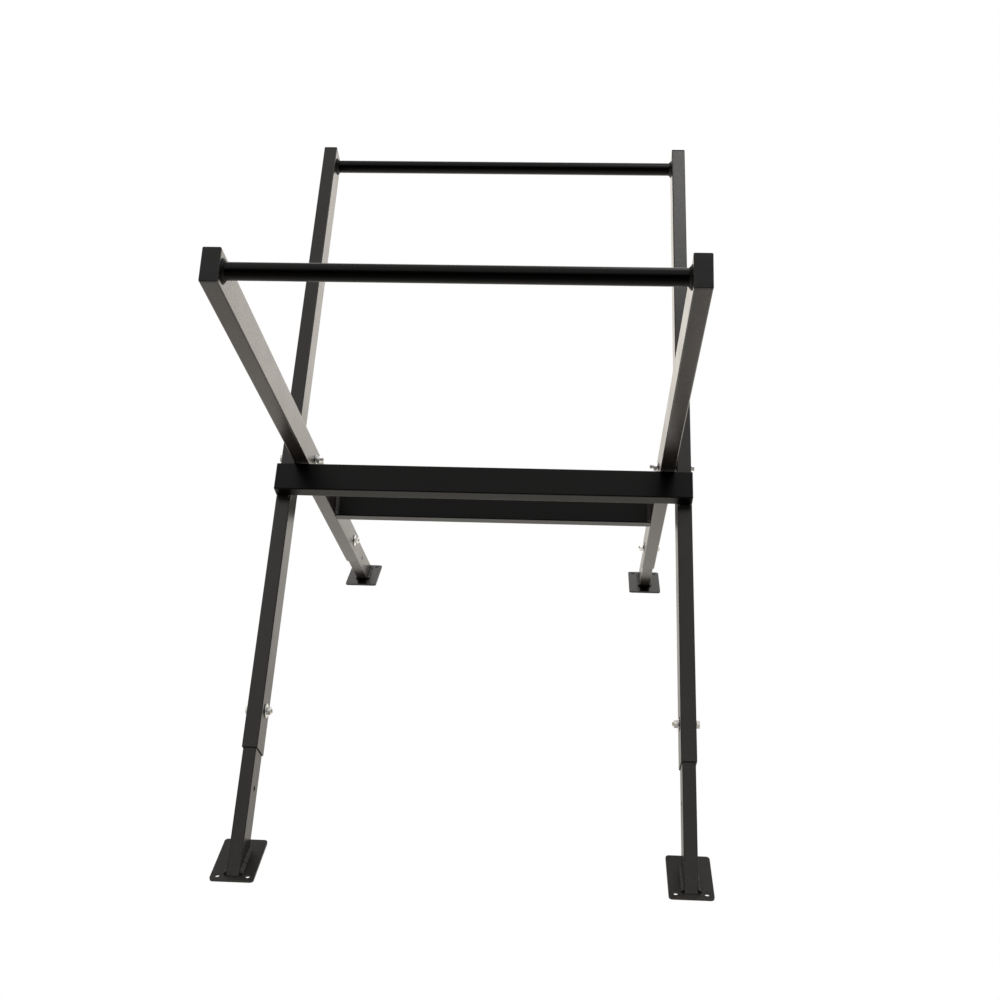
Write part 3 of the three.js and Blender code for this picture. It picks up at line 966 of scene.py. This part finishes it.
class MakeBeamWelds(bpy.types.Operator):
    """Make the welds that hold the crossbeams"""

    bl_idname = "sawhorse.beam_welds"
    bl_label = "Crossbeam welds"

    def execute(self, context):
        sizes = context.scene.sawhorse_sizes
        # Painted shade: the front welds take the darker weld coat; the rear ones take the plain powder
        # coat.
        for make, name, kind, coat in ((self.front, "front", "outer", "weld coat with painted shade"),
                                       (self.rear, "rear", "inner", "satin black coat")):
            shape = placed(joined(make(sizes, AXES[kind])), AXES[kind])
            add_piece(f"{name}_crossbeam_welds", shape, body_of(f"{name}_crossbeam"),
                      finish_named(coat))
        return {"FINISHED"}

    @staticmethod
    def front(sizes, axes):
        """Beads across each outer tube's front face, under and over the beam."""
        low, high = extent("front_crossbeam", axes)
        beads = []
        for label, side in SIDES:
            tube_low, tube_high = extent(f"outer_tube_{label}", axes)
            left, right = tube_low[0] + sizes.tube_corner, tube_high[0] - sizes.tube_corner
            for turn, up in ((-1, low[2]), (1, high[2])):
                path = straight([left, tube_low[1], up], [right, tube_low[1], up])
                forward, away = along_path(path, [0, -1, 0]), along_path(path, [0, 0, turn])
                reach = (sizes.beam_weld, 1.3 * sizes.beam_weld)
                beads.append(bead(path, forward, away, reach, 0.17 * side + 0.3 * turn))
        return beads

    @staticmethod
    def rear(sizes, axes):
        """Beads along the rear beam's wide faces, where its ends meet the inner tubes."""
        low, high = extent("rear_crossbeam", axes)
        beads = []
        inset = sizes.tube_corner
        for side, x in ((1, low[0]), (-1, high[0])):
            for turn, up in ((-1, low[2]), (1, high[2])):
                path = straight([x, low[1] + inset, up], [x, high[1] - inset, up])
                inward, away = along_path(path, [side, 0, 0]), along_path(path, [0, 0, turn])
                beads.append(bead(path, inward, away, (1.5 * sizes.beam_weld, 0.8 * sizes.beam_weld),
                                  0.23 * side + 0.11 * turn))
        return beads


class MakeBarWelds(bpy.types.Operator):
    """Make the ring welds where the top bars meet the tubes"""

    bl_idname = "sawhorse.bar_welds"
    bl_label = "Top bar welds"

    def execute(self, context):
        sizes = context.scene.sawhorse_sizes
        for kind, axes in AXES.items():
            low, high = extent(f"{kind}_top_bar", axes)
            centre, radius = (low + high) / 2, (high[2] - low[2]) / 2
            turn = np.linspace(0, 2 * math.pi, 240, endpoint=False)
            out = np.stack([np.zeros(240), np.cos(turn), np.sin(turn)], 1)
            reach = sizes.bar_weld * (0.85 + 0.4 * np.cos(turn) ** 2)
            rings = []
            for side, x in ((1, low[0]), (-1, high[0])):
                path = radius * out + [x, centre[1], centre[2]]
                inward = along_path(path, [side, 0, 0])
                rings.append(bead(path, out, inward, (reach, sizes.bar_weld), 0.2 * side, True, 1.9))
            shape = placed(joined(rings), axes)
            # Painted shade: the ring welds take the darker weld coat.
            add_piece(f"{kind}_top_bar_welds", shape, body_of(f"{kind}_top_bar"),
                      finish_named("weld coat with painted shade"))
        return {"FINISHED"}


FLOOR_HALF = 20.0  # half the floor's width
FLOOR_DROP = 0.2 * MM  # from the feet down to the floor
SOFTBOXES = (("softbox right", (0.62, 0.55, 2.3), 0.8, 4.5),  # name, place, side and watts
             ("softbox left", (-1.3, -0.5, 2.2), 1.0, 1.2))
# Where in the sky each light starts and how softly, both as parts of a whole step up or back.
CEILING_FROM, BEHIND_FROM, BACKDROP_FROM = (0.64, 0.2), (0.0, 0.4), (0.3, 0.4)
BACKDROP_TOP, BACKDROP_FADE = 0.62, (0.0, 0.3)


class MakeStage(bpy.types.Operator):
    """Make the pale floor, the soft light and the camera"""

    bl_idname = "sawhorse.stage"
    bl_label = "Stage"

    def execute(self, context):
        scene, stage = context.scene, context.scene.sawhorse_stage
        self.floor(scene, stage)
        self.sky(scene, stage)
        self.softboxes(scene)
        self.camera(scene, stage)
        scene.view_settings.view_transform = "Standard"
        return {"FINISHED"}

    @staticmethod
    def floor(scene, stage):
        """A square of 40 m just under the feet: points (u, v) times its half width.

        It throws a sweep of light that grows with the distance behind the object: brightness = middle +
        slope * y, between near and far. Seen directly it lets the pale studio through, as white as the
        floor is, so that a leg let down past it stays in sight.
        """
        square = ((-1, -1), (1, -1), (1, 1), (-1, 1))
        corners = [(u * FLOOR_HALF, v * FLOOR_HALF, -FLOOR_DROP) for u, v in square]
        mesh = bpy.data.meshes.new("floor")
        mesh.from_pydata(corners, [], [(0, 1, 2, 3)])
        material, finish, place = new_finish("pale floor")
        split = finish.node("ShaderNodeSeparateXYZ", {}, {0: place}).socket.node
        rise = stage.sweep_middle + stage.sweep_slope * Signal(finish, split.outputs[1])
        glow = finish.node("ShaderNodeClamp", {}, {0: rise, 1: stage.sweep_near, 2: stage.sweep_far})
        finish.surface(finish.node("ShaderNodeEmission", {}, {"Color": stage.sweep, "Strength": glow}))
        mesh.materials.append(material)
        floor = bpy.data.objects.new("floor", mesh)
        floor.visible_camera = False
        scene.collection.objects.link(floor)

    @staticmethod
    def softboxes(scene):
        """Square lamps overhead, each facing straight down."""
        for name, place, side, watts in SOFTBOXES:
            lamp = bpy.data.lights.new(name, "AREA")
            lamp.shape, lamp.size, lamp.energy = "SQUARE", side, watts
            softbox = bpy.data.objects.new(name, lamp)
            softbox.location = place
            softbox.visible_camera = False
            scene.collection.objects.link(softbox)

    @staticmethod
    def sky(scene, stage):
        """Studio light: a soft ceiling, dim walls, and next to nothing behind the camera."""
        world = bpy.data.worlds.new("studio")
        scene.world = world
        world.use_nodes = True
        sky = Finish(world.node_tree, "ShaderNodeOutputWorld")
        way = sky.node("ShaderNodeTexCoord", out="Generated")
        split = sky.node("ShaderNodeSeparateXYZ", {}, {0: way}).socket.node
        back, up = Signal(sky, split.outputs[1]), Signal(sky, split.outputs[2])
        high = up.over(*CEILING_FROM)
        front = (0.0 - back).over(*BEHIND_FROM)
        hung = back.over(*BACKDROP_FROM) * (BACKDROP_TOP - up).over(*BACKDROP_FADE)
        low = stage.walls + (stage.behind - stage.walls) * front + (stage.backdrop - stage.walls) * hung
        light = low + (stage.ceiling - low) * high
        plain = sky.node("ShaderNodeBackground", {}, {"Color": (1.0, 1.0, 1.0, 1.0), "Strength": 1.0})
        lit = sky.node("ShaderNodeBackground", {}, {"Color": (1.0, 0.985, 0.965, 1.0), "Strength": light})
        seen = sky.node("ShaderNodeLightPath", out="Is Camera Ray")
        sky.surface(sky.node("ShaderNodeMixShader", {}, {0: seen, 1: lit, 2: plain}))

    @staticmethod
    def camera(scene, stage):
        """A level camera in front, looking a little down and left."""
        lens = bpy.data.cameras.new("camera")
        lens.lens, lens.sensor_width = stage.lens, 36.0
        lens.clip_start, lens.clip_end = 0.05, 100.0
        camera = bpy.data.objects.new("camera", lens)
        scene.collection.objects.link(camera)
        camera.location = stage.eye
        camera.rotation_euler = (math.pi / 2 - stage.look_down, 0.0, stage.look_left)
        scene.camera = camera


GROUPS = {
    "sawhorse_sizes": SawhorseSizes,
    "sawhorse_finish": SawhorseFinish,
    "sawhorse_stage": SawhorseStage,
}
OPERATORS = (
    MakeFrameTubes,
    MakeLegs,
    MakeTopBars,
    MakeCrossbeams,
    MakePlugs,
    MakeFootPlates,
    MakePivotFasteners,
    MakeLockFasteners,
    MakeFootWelds,
    MakeBeamWelds,
    MakeBarWelds,
    MakeStage,
)


class SawhorsePanel(bpy.types.Panel):
    """Lists the sawhorse's settings and its pieces"""

    bl_idname = "VIEW3D_PT_sawhorse"
    bl_label = "Folding sawhorse"
    bl_space_type = "VIEW_3D"
    bl_region_type = "UI"
    bl_category = "Sawhorse"

    def draw(self, context):
        for operator in OPERATORS:
            self.layout.operator(operator.bl_idname)
        for group in GROUPS:
            box = self.layout.box()
            settings = getattr(context.scene, group)
            for name in settings.__annotations__:
                box.prop(settings, name)


CLASSES = (*GROUPS.values(), *OPERATORS, SawhorsePanel)


def register():
    for made in CLASSES:
        bpy.utils.register_class(made)
    for name, group in GROUPS.items():
        setattr(bpy.types.Scene, name, bpy.props.PointerProperty(type=group))


def unregister():
    for name in GROUPS:
        delattr(bpy.types.Scene, name)
    for made in reversed(CLASSES):
        bpy.utils.unregister_class(made)


def main():
    """Builds every piece and the stage."""
    register()
    for operator in OPERATORS:
        group, name = operator.bl_idname.split(".")
        getattr(getattr(bpy.ops, group), name)()


if __name__ == "__main__":
    main()
